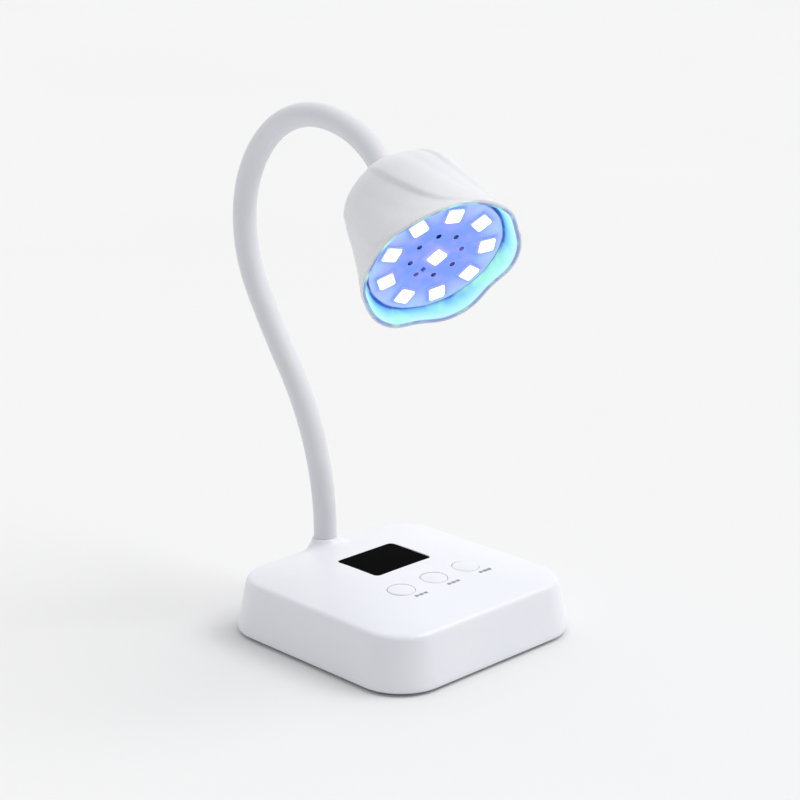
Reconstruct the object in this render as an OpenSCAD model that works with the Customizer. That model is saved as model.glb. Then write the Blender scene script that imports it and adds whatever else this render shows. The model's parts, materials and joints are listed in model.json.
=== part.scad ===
// UV curing lamp: a square weighted base with a display and three buttons,
// a gooseneck that holds its bend, and a bell-shaped head with a petal lip
// round a disc of ten ultraviolet LEDs.
//
// Frame: origin at the centre of the base's foot print, on the table.
// +X is the user's right, +Y is the back, +Z is up. Millimetres and degrees.

/* [Base] */
// Width and depth of the base at its foot
base_w = 110; // [88:1:140]
// Corner radius of the foot
base_corner_r = 23; // [15:1:30]
// Height of the shoulder where the side meets the deck
shoulder_z = 24.4; // [23:0.1:30]
// How far the deck rises from the shoulder to its middle
crown = 4.1; // [3:0.1:6]
// How far each side leans in from the foot to the shoulder
side_draft = 3.4; // [1:0.1:6]
// Wall thickness of the base shell
base_wall = 2.0; // [1.4:0.1:2.6]
// Thickness of the rubber pad
pad_t = 1.2; // [0.8:0.1:2]
// Thickness of the bottom cover
cover_t = 2.0; // [1.5:0.1:3]

/* [Display and buttons] */
// Width of the display window
window_w = 32; // [28:0.5:40]
// Depth of the display window, front to back
window_d = 25; // [21:0.5:30]
// Thickness of the display window
window_t = 1.0; // [0.8:0.1:1.4]
// Distance of the window's centre behind the base's centre
window_y = 10.8; // [8:0.1:14]
// Radius of a button
button_r = 5.75; // [4.5:0.25:7]
// Distance between neighbouring buttons
button_pitch = 18.75; // [16:0.25:22]
// Distance of the buttons in front of the base's centre
button_y = -18.6; // [-24:0.2:-16]
// Travel of a button
button_travel = 0.5; // [0.3:0.1:0.7]

/* [Neck] */
// Outer radius of the neck's silicone sleeve
sleeve_r = 5.0; // [4:0.1:6]
// Wall thickness of the sleeve
sleeve_wall = 1.3; // [1:0.1:1.6]
// Wall thickness of the wound metal core
core_wall = 1.5; // [1:0.1:1.8]
// Radius of the cable inside the core
lead_r = 1.2; // [0.8:0.1:1.4]
// Distance of the neck's axis from the back of the base's foot
neck_inset = 7.5; // [7:0.5:14]
// Length of one link of the neck along its curve
link_len = 37.1; // [30:0.1:45]

/* [Head] */
// Radius of the shell where its taper meets the flared lip
shell_r = 30.8; // [26:0.2:37]
// Wall thickness of the head shell
shell_wall = 1.4; // [1:0.1:1.8]
// Length of the tapered part of the shell, from the lip to the dome
taper_len = 23; // [18:0.5:30]
// Length of the dome behind the taper
dome_len = 18.3; // [14:0.1:22]
// Depth of the taper's front behind the face of the LED board
rim_back = 4; // [3:0.1:5]
// How far the lip's edge stands in front of the LED board
lip_front = 6.2; // [4:0.1:8]
// How much wider the lip is at its edge than at the taper
lip_flare = 3.3; // [1:0.1:5]
// Wall thickness of the translucent ring that lines the lip
ring_wall = 1.1; // [0.8:0.1:1.5]
// Number of petals
petal_count = 6; // [4:1:9]
// Depth of the dents between the petals at the lip's edge
petal_wave = 1.6; // [0:0.1:2]
// Direction of the first dent about the head's axis
petal_turn = 36; // [-180:1:180]
// Edge length of one LED
led_w = 6.6; // [4:0.1:7]
// Radius of the ring of LEDs
led_ring_r = 21.6; // [18:0.1:24]
// Number of LEDs on the ring
led_count = 9; // [6:1:9]
// Direction of the first LED about the head's axis
led_turn = 14; // [-180:1:180]

/* [Hidden] */
// Clearance between pieces that are fixed to each other
fixed_gap = 0.15;
// Clearance between pieces that move against each other
moving_gap = 0.3;
// Thickness of a circuit board
board_t = 1.6;
// Slices that are hulled into smooth shapes
slice = 0.02;

// --- Base heights, from the table up ---
base_half = base_w / 2;
shell_bottom = pad_t + 0.3;
cover_top = pad_t + cover_t;
side_top = shoulder_z - 2.4;
shoulder_half = base_half - side_draft;
deck_half = shoulder_half - 3.1;
deck_top = shoulder_z + crown;
boss_z = deck_top - 0.5;
neck_y = base_half - neck_inset;
window_top = deck_top - 0.4;
window_bottom = window_top - window_t;
plate_t = 3;
plate_top = cover_top + plate_t;
plate_w = base_w - 30;
plate_d = base_w - 54;
plate_y = -2;
battery_w = 56;
battery_d = 38;
battery_t = 7;
board_z = deck_top - 10;
board_top = board_z + board_t;
board_half = base_half - 21;
board_front = -34;
board_back = neck_y - 1.5;
cover_half = base_half - base_wall - 0.5;
screw_x = base_half - 17;
screw_post_r = 3.2;
board_screw_x = board_half - 5;
board_screw_y = [board_front + 5, 33];
board_post_r = 2.5;
cover_screw_r = 1.4;

// --- Buttons and their switches ---
switch_w = 6;
switch_t = 3.5;
plunger_r = 1.75;
plunger_h = 1.0;
switch_top = board_top + switch_t;
plunger_top = switch_top + plunger_h;
button_top = deck_top + 0.15;
button_skirt_h = 0.8;
button_skirt_r = button_r + 1.0;
button_skirt_top = deck_top - base_wall - 1.0;
button_dome_r = 45;
button_x = [-button_pitch, 0, button_pitch];

// --- USB socket in the back wall ---
usb_x = 23;
usb_w = 8.94;
usb_h = 3.2;
usb_len = 7.3;
usb_wall = 0.3;
usb_mouth_y = base_half - side_draft - 0.6;
usb_z = board_top + usb_h / 2;

// --- Neck: forward bend and sideways turn of each link, as it was last set ---
link_bend = [-17.5, -18, 6, 37.5, 41, 47, 28];
link_turn = [0, 0, 0, 0, 0, 1, -13.5];
links = len(link_bend);
stub_len = 4;
core_r = sleeve_r - sleeve_wall - 0.2;
core_bore = core_r - core_wall;
ball_gap = 0.5;
socket_r = sleeve_r + ball_gap;
core_start = 6;
ferrule_len = 18;
ferrule_r = sleeve_r;
ferrule_bore = core_r + 0.05;
boss_bore = sleeve_r + fixed_gap;
boss_r = boss_bore + 1.3;
boss_top_r = sleeve_r + 0.9;
boss_flare = 5.5;
sleeve_bottom = boss_z - stub_len;
ferrule_bottom = sleeve_bottom - ferrule_len;
set_screw_r = 1.5;
set_screw_len = 4;
set_screw_z = [ferrule_bottom + 5, ferrule_bottom + 12];

// --- Head: depths are measured along its axis, 0 at the LED board's face ---
dome_start = -rim_back - taper_len;
head_pole = dome_start - dome_len;
head_joint = head_pole - 9.7;
dome_r = shell_r - 5.1;
lip_len = rim_back + lip_front;
board_r = lip_r(-board_t) - shell_wall - fixed_gap - ring_wall - 0.15;
ring_r = board_r - 3;
ring_back = -rim_back - 5;
sink_r = ring_r - 0.2;
sink_t = 2.5;
sink_fin_back = -board_t - sink_t - 8;
sink_back = -board_t - sink_t;
nut_r = 8;
nut_t = 3.5;
nut_seat = head_pole + 4.3;
upper_ferrule_start = head_pole + 1.3;
upper_ferrule_end = upper_ferrule_start + 13;
sink_screw_ring = 19;
sink_screw_r = 1.2;
sink_post_r = 2.6;
petal_cut_r = 38;
led_t = 1.2;
vent_ring_r = 10.9;
vent_count = 8;
vent_turn = 18;
centre_led_turn = 60;
thermistor_turn = -115;
thermistor_r = 7.4;

$fn = 64;

// ---------- Base outline and deck ----------

// Height of the deck at a distance h from the middle, out to deck_half.
function deck_z(h) = shoulder_z + crown * (1 - pow(h / deck_half, 3));

// Stations of the outer skin: [height, half width, corner radius].
function base_stations() = concat(
    [[shell_bottom, base_half - 0.3, base_corner_r],
     [shell_bottom + 1.5, base_half, base_corner_r],
     [side_top, shoulder_half, base_corner_r - side_draft],
     [shoulder_z - 1.1, shoulder_half - 0.6, base_corner_r - side_draft - 0.6],
     [shoulder_z - 0.3, shoulder_half - 1.9, base_corner_r - side_draft - 1.5]],
    [for (s = [1, 0.92, 0.82, 0.7, 0.55, 0.38, 0.2])
        [deck_z(s * deck_half), s * deck_half, s * (base_corner_r - side_draft - 2.5)]]);

// Convex body through the stations, moved in by inset and down by drop.
module base_body(inset, drop) {
    hull() {
        for (s = base_stations(), x = [-1, 1], y = [-1, 1]) {
            r = max(s[2] - inset, 1);
            c = s[1] - inset - r;
            translate([x * c, y * c, s[0] - drop])
                cylinder(h = slice, r = r, $fn = 32);
        }
    }
}

// Rounded rectangle, as a flat shape.
module rounded_rect(w, d, r) {
    square([w - 2 * r, d], center = true);
    square([w, d - 2 * r], center = true);
    for (x = [-1, 1], y = [-1, 1])
        translate([x * (w / 2 - r), y * (d / 2 - r)]) circle(r = r);
}

module at_corners(a, b) {
    for (x = [-1, 1], y = [-1, 1]) translate([x * a, y * b, 0]) children();
}

// Flared foot of the neck: a concave fillet from the boss down to the deck.
module boss_flare_solid() {
    rotate_extrude()
        polygon(concat(
            [[0, boss_z], [0, boss_z - boss_flare]],
            [for (t = [90 : -10 : 0])
                [boss_top_r + boss_flare * (1 - cos(t)), boss_z - boss_flare * sin(t)]]));
}

module base_top_shell() color("#f2f3f6") {
    difference() {
        union() {
            difference() {
                union() {
                    base_body(0, 0);
                    translate([0, neck_y, shell_bottom + 6])
                        cylinder(h = boss_z - shell_bottom - 9, r = boss_r);
                    intersection() {
                        translate([0, neck_y, 0]) boss_flare_solid();
                        translate([0, 0, boss_z / 2])
                            cube([base_w, base_w - 1.2, boss_z + 1], center = true);
                    }
                }
                base_body(base_wall, base_wall);
            }
            // Column round the neck, and the posts for the case and the board
            intersection() {
                base_body(0, 0);
                union() {
                    translate([0, neck_y, ferrule_bottom + 1.5])
                        cylinder(h = boss_z, r = boss_r);
                    at_corners(screw_x, screw_x)
                        translate([0, 0, cover_top + 0.1])
                            cylinder(h = boss_z, r = screw_post_r);
                    for (x = [-1, 1], y = board_screw_y)
                        translate([x * board_screw_x, y, board_top])
                            cylinder(h = boss_z, r = board_post_r);
                }
            }
        }
        // Open underside for the cover
        linear_extrude(cover_top + 0.05)
            rounded_rect(2 * cover_half + 0.4, 2 * cover_half + 0.4, base_corner_r - base_wall);
        // Window seat with a ledge, and the hole through the ledge
        translate([0, window_y, window_bottom]) linear_extrude(4)
            rounded_rect(window_w + 0.2, window_d + 0.2, 3.1);
        translate([0, window_y, window_bottom - 8]) linear_extrude(12)
            rounded_rect(window_w - 3, window_d - 3, 1.5);
        // Button holes
        for (x = button_x) translate([x, button_y, button_skirt_top - 1])
            cylinder(h = 8, r = button_r + moving_gap);
        // Bore for the neck, and its two clamping screws
        translate([0, neck_y, 0]) cylinder(h = boss_z + 5, r = boss_bore);
        for (z = set_screw_z)
            translate([0, neck_y - boss_r - 1, z]) rotate([-90, 0, 0])
                cylinder(h = boss_r, r = set_screw_r + 0.05, $fn = 32);
        // Pilot holes in the posts
        at_corners(screw_x, screw_x)
            cylinder(h = cover_top + 10, r = cover_screw_r + 0.05, $fn = 32);
        for (x = [-1, 1], y = board_screw_y)
            translate([x * board_screw_x, y, board_top - 1])
                cylinder(h = 4.2, r = 1.05, $fn = 32);
        // Mouth of the USB socket
        translate([usb_x, usb_mouth_y - usb_len - 0.3, usb_z]) rotate([-90, 0, 0])
            linear_extrude(16)
                rounded_rect(usb_w + 0.3, usb_h + 0.3, (usb_h + 0.3) / 2 - 0.01);
    }
}

module base_bottom_cover() color("#e4e5e8") {
    difference() {
        union() {
            translate([0, 0, pad_t]) linear_extrude(cover_t)
                rounded_rect(2 * cover_half, 2 * cover_half, base_corner_r - base_wall - 0.2);
            // Ribs that hold the weight
            for (x = [-1, 1])
                translate([x * (plate_w / 2 + 0.9), plate_y, cover_top + 2])
                    cube([1.5, plate_d * 0.6, 4.1], center = true);
            for (y = [-1, 1])
                translate([0, plate_y + y * (plate_d / 2 + 0.9), cover_top + 2])
                    cube([plate_w * 0.6, 1.5, 4.1], center = true);
        }
        at_corners(screw_x, screw_x) {
            cylinder(h = 20, r = cover_screw_r + 0.1, $fn = 32);
            translate([0, 0, pad_t - 1]) cylinder(h = 2.2, r = 2.9, $fn = 32);
        }
    }
}

module non_slip_pad() color("#3b3d42") {
    difference() {
        linear_extrude(pad_t) rounded_rect(base_w - 5, base_w - 5, base_corner_r - 2.5);
        at_corners(screw_x, screw_x)
            translate([0, 0, -1]) cylinder(h = pad_t + 2, r = 3.2, $fn = 32);
    }
}

module case_screws() color("#a9acb2") {
    at_corners(screw_x, screw_x) {
        difference() {
            translate([0, 0, pad_t - 0.4]) cylinder(h = 1.6, r = 2.7, $fn = 32);
            translate([0, 0, pad_t - 0.9]) cylinder(h = 1.2, r = 1.1, $fn = 6);
        }
        translate([0, 0, pad_t + 1.2]) cylinder(h = cover_t + 7, r = cover_screw_r, $fn = 32);
    }
}

module weight_plate() color("#8b8f96") {
    difference() {
        translate([0, plate_y, cover_top]) linear_extrude(plate_t)
            rounded_rect(plate_w, plate_d, 3);
        for (x = [-1, 1]) translate([x * (plate_w / 2 - 7), plate_y, 0])
            cylinder(h = 20, r = 2.5);
    }
}

// ---------- Battery and electronics ----------

module battery_cell() color("#5b87b8") {
    translate([0, plate_y, plate_top]) linear_extrude(battery_t)
        rounded_rect(battery_w, battery_d, 2);
}

function unit(v) = v / norm(v);

// Round wire through points that lie in one plane, whose normal is side.
module wire(points, r, side) {
    sides = 8;
    last = len(points) - 1;
    rings = [for (i = [0 : last])
        let (before = unit(points[max(i, 1)] - points[max(i, 1) - 1]),
             after = unit(points[min(i + 1, last)] - points[min(i + 1, last) - 1]),
             along = unit(before + after), out = cross(along, side) / (along * after))
        for (k = [0 : sides - 1])
            points[i] + r * (cos(k * 360 / sides) * side + sin(k * 360 / sides) * out)];
    faces = concat(
        [[for (k = [0 : sides - 1]) k]],
        [for (i = [0 : last - 1], k = [0 : sides - 1])
            let (k2 = (k + 1) % sides)
            [i * sides + k, (i + 1) * sides + k, (i + 1) * sides + k2, i * sides + k2]],
        [[for (k = [sides - 1 : -1 : 0]) last * sides + k]]);
    polyhedron(points = rings, faces = faces);
}

module battery_leads() color("#c83a3a") {
    for (y = [-1, 1])
        wire([[battery_w / 2, plate_y + 4 * y, plate_top + battery_t / 2],
              [battery_w / 2 + 3, plate_y + 4 * y, plate_top + battery_t / 2],
              [battery_w / 2 + 3, plate_y + 4 * y, board_z]], 0.8, [0, 1, 0]);
}

module main_board() color("#2f6b45") {
    difference() {
        translate([0, (board_front + board_back) / 2, board_z])
            linear_extrude(board_t)
                rounded_rect(2 * board_half, board_back - board_front, 2);
        translate([0, neck_y, board_z - 1]) cylinder(h = board_t + 2, r = boss_r + 2);
        translate([-board_half - 1, board_back - 8, board_z - 1])
            cube([board_half - 8, 20, board_t + 2]);
        for (x = [-1, 1], y = board_screw_y)
            translate([x * board_screw_x, y, board_z - 1])
                cylinder(h = board_t + 2, r = 1.3, $fn = 32);
    }
}

module board_components() color("#26282c") {
    // Charger coil, controller, LED driver and the socket of the neck's cable
    translate([-24, -18, board_z - 4]) cylinder(h = 4, r = 4.5);
    translate([-12, -16, board_z - 1.6]) linear_extrude(1.6) square([10, 10]);
    translate([14, -24, board_z - 1.2]) linear_extrude(1.2) square([5, 4]);
    translate([-4, 27, board_z - 4.5]) linear_extrude(4.5) square([8, 5]);
}

module board_screws() color("#a9acb2") {
    for (x = [-1, 1], y = board_screw_y)
        translate([x * board_screw_x, y, 0]) {
            translate([0, 0, board_z - 1.4]) cylinder(h = 1.4, r = 2.1, $fn = 32);
            translate([0, 0, board_z - 0.1]) cylinder(h = board_t + 3, r = 1.0, $fn = 32);
        }
}

module display_window() color("#08090b") {
    translate([0, window_y, window_bottom]) linear_extrude(window_t)
        rounded_rect(window_w, window_d, 3);
}

module display_module() color("#1b1d20") {
    translate([0, window_y, board_top]) linear_extrude(window_bottom - 0.1 - board_top)
        rounded_rect(window_w - 3.6, window_d - 3.6, 1);
}

module tact_switches() color("#202226") {
    for (x = button_x) translate([x, button_y, board_top])
        difference() {
            linear_extrude(switch_t) square(switch_w, center = true);
            translate([0, 0, switch_t - 1]) cylinder(h = 2, r = plunger_r + moving_gap);
        }
}

module switch_plunger(i) color("#3a3c40") {
    translate([button_x[i - 1], button_y, switch_top - 1 + button_travel])
        cylinder(h = plunger_h + 1 - button_travel, r = plunger_r);
}

module button_cap(i) color("#f4f5f8") {
    translate([button_x[i - 1], button_y, 0]) {
        intersection() {
            translate([0, 0, button_skirt_top - 0.05])
                cylinder(h = button_top - button_skirt_top + 1, r = button_r);
            translate([0, 0, button_top - button_dome_r]) sphere(r = button_dome_r);
        }
        translate([0, 0, button_skirt_top - button_skirt_h])
            cylinder(h = button_skirt_h, r = button_skirt_r);
        translate([0, 0, plunger_top])
            cylinder(h = button_skirt_top - plunger_top, r = 1.6);
    }
}

module usb_socket() color("#b9bdc4") {
    translate([usb_x, usb_mouth_y - usb_len, usb_z]) rotate([-90, 0, 0]) {
        difference() {
            linear_extrude(usb_len) rounded_rect(usb_w, usb_h, usb_h / 2 - 0.01);
            translate([0, 0, 1]) linear_extrude(usb_len)
                rounded_rect(usb_w - 2 * usb_wall, usb_h - 2 * usb_wall, usb_h / 2 - usb_wall - 0.01);
        }
        // Contact tongue
        translate([-3.3, -0.35, 0.9]) cube([6.6, 0.7, 4.7]);
    }
}

// ---------- Neck ----------

// Frame of a bend: forward by f and to the side by s, along a curve of length len.
function bend_angle(f, s) = max(sqrt(f * f + s * s), 0.01);
function bend_axis(f, s) = [f, s, 0] / bend_angle(f, s);
function bend_radius(f, s) = link_len * 180 / (PI * bend_angle(f, s));
function bend_step(f, s) =
    let (b = bend_angle(f, s), n = bend_axis(f, s), r = bend_radius(f, s),
         c = cos(b), k = 1 - cos(b), q = sin(b))
    [[c + n[0] * n[0] * k, n[0] * n[1] * k, n[1] * q, n[1] * r * k],
     [n[0] * n[1] * k, c + n[1] * n[1] * k, -n[0] * q, -n[0] * r * k],
     [-n[1] * q, n[0] * q, c, r * q],
     [0, 0, 0, 1]];
function shift(v) = [[1, 0, 0, v[0]], [0, 1, 0, v[1]], [0, 0, 1, v[2]], [0, 0, 0, 1]];

// Frame at the joint below link i; joint links + 1 is the head's.
function joint_frame(i) = i == 1
    ? shift([0, neck_y, boss_z + stub_len])
    : joint_frame(i - 1) * bend_step(link_bend[i - 2], link_turn[i - 2]);
head_frame = joint_frame(links + 1) * shift([0, 0, -head_joint]);

// Round tube along link i, starting a distance skip beyond its joint.
module link_tube(i, r_out, r_in, skip) {
    f = link_bend[i - 1];
    s = link_turn[i - 1];
    n = bend_axis(f, s);
    big = bend_radius(f, s);
    skipped = skip * 180 / (PI * big);
    multmatrix([[-n[1], 0, n[0], n[1] * big],
                [n[0], 0, n[1], -n[0] * big],
                [0, 1, 0, 0],
                [0, 0, 0, 1]])
        rotate([0, 0, skipped])
            rotate_extrude(angle = bend_angle(f, s) - skipped)
                translate([big, 0]) difference() {
                    circle(r = r_out);
                    if (r_in > 0) circle(r = r_in);
                }
}

module at_joint(i) { multmatrix(joint_frame(i)) children(); }

// Each sleeve ends square at the next joint, and starts with a round socket
// that the end before it turns in.
module neck_sleeve(i) color("#eceef2") at_joint(i) {
    difference() {
        link_tube(i, sleeve_r, sleeve_r - sleeve_wall, 0);
        sphere(r = socket_r);
    }
}

module neck_core(i) color("#9da1a8") at_joint(i) link_tube(i, core_r, core_bore, core_start);

module neck_lead(i) color("#2b2d31") at_joint(i) link_tube(i, lead_r, 0, core_start);

module neck_sleeve_base() color("#eceef2") {
    translate([0, neck_y, sleeve_bottom])
        difference() {
            cylinder(h = boss_z + stub_len - sleeve_bottom, r = sleeve_r);
            translate([0, 0, -1]) cylinder(h = 2 * boss_z, r = sleeve_r - sleeve_wall);
        }
}

module neck_core_base() color("#9da1a8") {
    translate([0, neck_y, ferrule_bottom + 2])
        difference() {
            cylinder(h = boss_z + stub_len - ferrule_bottom - 2, r = core_r);
            translate([0, 0, -1]) cylinder(h = 2 * boss_z, r = core_bore);
        }
}

module neck_ferrule_lower() color("#c3a25a") {
    difference() {
        translate([0, neck_y, ferrule_bottom]) cylinder(h = ferrule_len, r = ferrule_r);
        translate([0, neck_y, 0]) cylinder(h = boss_z, r = ferrule_bore);
        for (z = set_screw_z)
            translate([0, neck_y - ferrule_r - 1, z]) rotate([-90, 0, 0])
                cylinder(h = 2, r = set_screw_r + 0.05, $fn = 32);
    }
}

module neck_set_screws() color("#6f737a") {
    for (z = set_screw_z)
        translate([0, neck_y - ferrule_r + 0.9, z]) rotate([90, 0, 0])
            difference() {
                cylinder(h = set_screw_len, r = set_screw_r, $fn = 32);
                translate([0, 0, set_screw_len - 1.2]) cylinder(h = 2, r = 0.8, $fn = 6);
            }
}

module base_lead() color("#2b2d31") {
    // Cable from its socket under the board, into the foot of the neck and up to the first joint
    wire([[0, 29.5, board_z - 4.5],
          [0, 29.5, ferrule_bottom + 2.5],
          [0, 31.5, ferrule_bottom + 0.5],
          [0, neck_y - 6, cover_top + 1.6],
          [0, neck_y, ferrule_bottom - 0.6],
          [0, neck_y, boss_z + stub_len]], lead_r, [1, 0, 0]);
}

// ---------- Head ----------

// Radius of the shell's outer skin at a depth z: tapered behind the lip, and flared along it.
function lip_share(z) = max(0, (z + rim_back) / lip_len);
function lip_r(z) = z < -rim_back
    ? shell_r - (shell_r - dome_r) * pow(min(-rim_back - z, taper_len) / taper_len, 0.85)
    : shell_r + lip_flare * lip_share(z);

// Half profile of the skin from behind the lip to the pole, moved in by inset.
function skin(inset) = concat(
    [[lip_r(-rim_back) - inset, -rim_back]],
    [for (k = [1 : 4])
        let (z = -rim_back - taper_len * k / 4)
        [lip_r(z) - inset, z]],
    [for (t = [10 : 10 : 80])
        [(dome_r - inset) * cos(t), dome_start - (dome_len - inset) * sin(t)]],
    [[0, head_pole + inset]]);

// Solid within the skin, moved in by inset, whose mouth is at the depth front.
module bell(inset, front) {
    rotate_extrude()
        polygon(concat([[0, front], [lip_r(front) - inset, front]], skin(inset)));
}

// Scallops between the petals, cut across a lip whose edge is at the depth front.
module petal_cuts(front) {
    for (k = [0 : petal_count - 1])
        rotate(petal_turn + k * 360 / petal_count)
            translate([dome_r - 10, 0, front + petal_cut_r - petal_wave])
                rotate([0, 90, 0]) cylinder(h = 30, r = petal_cut_r);
}

module in_head() { multmatrix(head_frame) children(); }

module head_shell() color("#f2f3f6") in_head() {
    difference() {
        union() {
            difference() {
                bell(0, lip_front);
                bell(shell_wall, lip_front + 1);
            }
            // Seat of the neck's nut, and posts for the heat sink
            intersection() {
                bell(0.4, 0);
                union() {
                    translate([0, 0, head_pole]) cylinder(h = nut_seat - head_pole, r = 9);
                    for (a = [60 : 120 : 300]) rotate(a)
                        translate([sink_screw_ring, 0, head_pole])
                            cylinder(h = sink_back - head_pole, r = sink_post_r);
                }
            }
        }
        petal_cuts(lip_front);
        translate([0, 0, head_pole - 2]) cylinder(h = 12, r = sleeve_r + fixed_gap);
        for (a = [60 : 120 : 300]) rotate(a)
            translate([sink_screw_ring, 0, sink_back - 7])
                cylinder(h = 12, r = sink_screw_r + 0.05, $fn = 32);
    }
}

// The ring that lines the lip: a wall behind the board, a seat for it, and the lit face.
module mouth_ring() color("#8fe9f7") in_head() {
    outer = shell_wall + fixed_gap;
    inner = outer + ring_wall;
    front = lip_front - 0.7;
    difference() {
        rotate_extrude()
            polygon([[ring_r, ring_back],
                     [lip_r(ring_back) - outer, ring_back],
                     [lip_r(-rim_back) - outer, -rim_back],
                     [lip_r(front) - outer, front],
                     [lip_r(front) - inner, front],
                     [board_r + 0.15, -board_t],
                     [ring_r, -board_t]]);
        petal_cuts(front);
    }
}

module led_board() color("#8fa0f6") in_head() {
    difference() {
        translate([0, 0, -board_t]) cylinder(h = board_t, r = board_r, $fn = 96);
        for (k = [0 : vent_count - 1]) rotate(vent_turn + k * 360 / vent_count)
            translate([vent_ring_r, 0, -board_t - 1]) cylinder(h = board_t + 2, r = 1.0, $fn = 32);
    }
}

module uv_leds() color("#fbfcff") in_head() {
    for (k = [0 : led_count - 1]) rotate(led_turn + k * 360 / led_count)
        translate([led_ring_r, 0, led_t / 2]) cube([led_w, led_w, led_t], center = true);
    rotate(centre_led_turn) translate([0, 0, led_t / 2])
        cube([led_w, led_w, led_t], center = true);
}

module board_thermistor() color("#2a2f6a") in_head() {
    rotate(thermistor_turn) translate([thermistor_r, 0, 0.4]) cube([1.6, 0.9, 0.8], center = true);
}

module heat_sink() color("#b5b9c0") in_head() {
    difference() {
        union() {
            translate([0, 0, sink_back]) cylinder(h = sink_t, r = sink_r);
            // Fins across the back, clear of the posts
            for (y = [-10 : 4 : 10])
                translate([0, y, (sink_back + sink_fin_back) / 2 + 0.1])
                    cube([22, 1.2, sink_back - sink_fin_back + 0.2], center = true);
        }
        translate([0, 0, sink_fin_back - 1]) cylinder(h = 30, r = 2.5, $fn = 32);
        for (a = [60 : 120 : 300]) rotate(a) translate([sink_screw_ring, 0, sink_back - 1]) {
            cylinder(h = 6, r = sink_screw_r + 0.15, $fn = 32);
            translate([0, 0, 2]) cylinder(h = 6, r = 2.2, $fn = 32);
        }
    }
}

module heat_sink_screws() color("#a9acb2") in_head() {
    for (a = [60 : 120 : 300]) rotate(a) translate([sink_screw_ring, 0, 0]) {
        translate([0, 0, sink_back + 1]) cylinder(h = 1.3, r = 2.0, $fn = 32);
        translate([0, 0, sink_back - 6]) cylinder(h = 7.1, r = sink_screw_r, $fn = 32);
    }
}

module neck_ferrule_upper() color("#c3a25a") in_head() {
    translate([0, 0, upper_ferrule_start])
        difference() {
            cylinder(h = upper_ferrule_end - upper_ferrule_start, r = sleeve_r);
            translate([0, 0, -1]) cylinder(h = 30, r = ferrule_bore);
        }
}

module neck_nut_upper() color("#c3a25a") in_head() {
    translate([0, 0, nut_seat])
        difference() {
            cylinder(h = nut_t, r = nut_r, $fn = 6);
            translate([0, 0, -1]) cylinder(h = nut_t + 2, r = sleeve_r + 0.05);
        }
}

module neck_sleeve_head() color("#eceef2") in_head() {
    difference() {
        translate([0, 0, head_joint])
            cylinder(h = upper_ferrule_start - head_joint, r = sleeve_r);
        translate([0, 0, head_joint]) sphere(r = socket_r);
        translate([0, 0, head_joint - 1]) cylinder(h = 60, r = sleeve_r - sleeve_wall);
    }
}

module neck_core_head() color("#9da1a8") in_head() {
    translate([0, 0, head_joint + core_start])
        difference() {
            cylinder(h = upper_ferrule_end - 2 - head_joint - core_start, r = core_r);
            translate([0, 0, -1]) cylinder(h = 60, r = core_bore);
        }
}

module head_lead() color("#2b2d31") in_head() {
    translate([0, 0, head_joint + core_start])
        cylinder(h = -board_t - head_joint - core_start, r = lead_r, $fn = 32);
}

base_top_shell();
base_bottom_cover();
non_slip_pad();
case_screws();
weight_plate();
battery_cell();
battery_leads();
main_board();
board_components();
board_screws();
display_window();
display_module();
tact_switches();
usb_socket();
neck_ferrule_lower();
neck_set_screws();
base_lead();
neck_sleeve_base();
neck_core_base();
for (i = [1 : 3]) {
    button_cap(i);
    switch_plunger(i);
}
for (i = [1 : links]) {
    neck_sleeve(i);
    neck_core(i);
    neck_lead(i);
}
head_shell();
mouth_ring();
led_board();
uv_leds();
board_thermistor();
heat_sink();
heat_sink_screws();
neck_ferrule_upper();
neck_nut_upper();
neck_sleeve_head();
neck_core_head();
head_lead();
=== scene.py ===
# %% Start
import json
import math
import bmesh
import bpy
import numpy as np
from mathutils import Matrix, Vector


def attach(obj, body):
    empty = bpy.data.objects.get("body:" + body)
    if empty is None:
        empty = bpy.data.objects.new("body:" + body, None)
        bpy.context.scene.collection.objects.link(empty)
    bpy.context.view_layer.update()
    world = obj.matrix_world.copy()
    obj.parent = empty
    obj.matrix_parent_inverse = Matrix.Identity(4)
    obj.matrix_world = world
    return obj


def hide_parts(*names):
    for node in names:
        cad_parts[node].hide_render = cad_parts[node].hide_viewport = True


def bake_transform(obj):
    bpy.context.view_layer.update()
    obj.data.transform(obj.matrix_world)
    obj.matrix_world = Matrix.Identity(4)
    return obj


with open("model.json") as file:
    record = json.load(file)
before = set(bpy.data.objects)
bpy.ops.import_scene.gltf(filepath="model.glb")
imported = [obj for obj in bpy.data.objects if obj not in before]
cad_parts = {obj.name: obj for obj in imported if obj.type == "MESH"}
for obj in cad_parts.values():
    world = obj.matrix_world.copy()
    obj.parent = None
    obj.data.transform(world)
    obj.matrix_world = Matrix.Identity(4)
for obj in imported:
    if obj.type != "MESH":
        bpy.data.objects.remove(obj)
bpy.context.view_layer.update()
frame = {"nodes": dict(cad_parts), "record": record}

# %% [markdown]
# Everything below is drawn in millimetres, in the lamp's own frame (+X right, +Y back, +Z up),
# and scaled to metres when a piece is finished. The numbers are the CAD model's own sizes.

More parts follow.
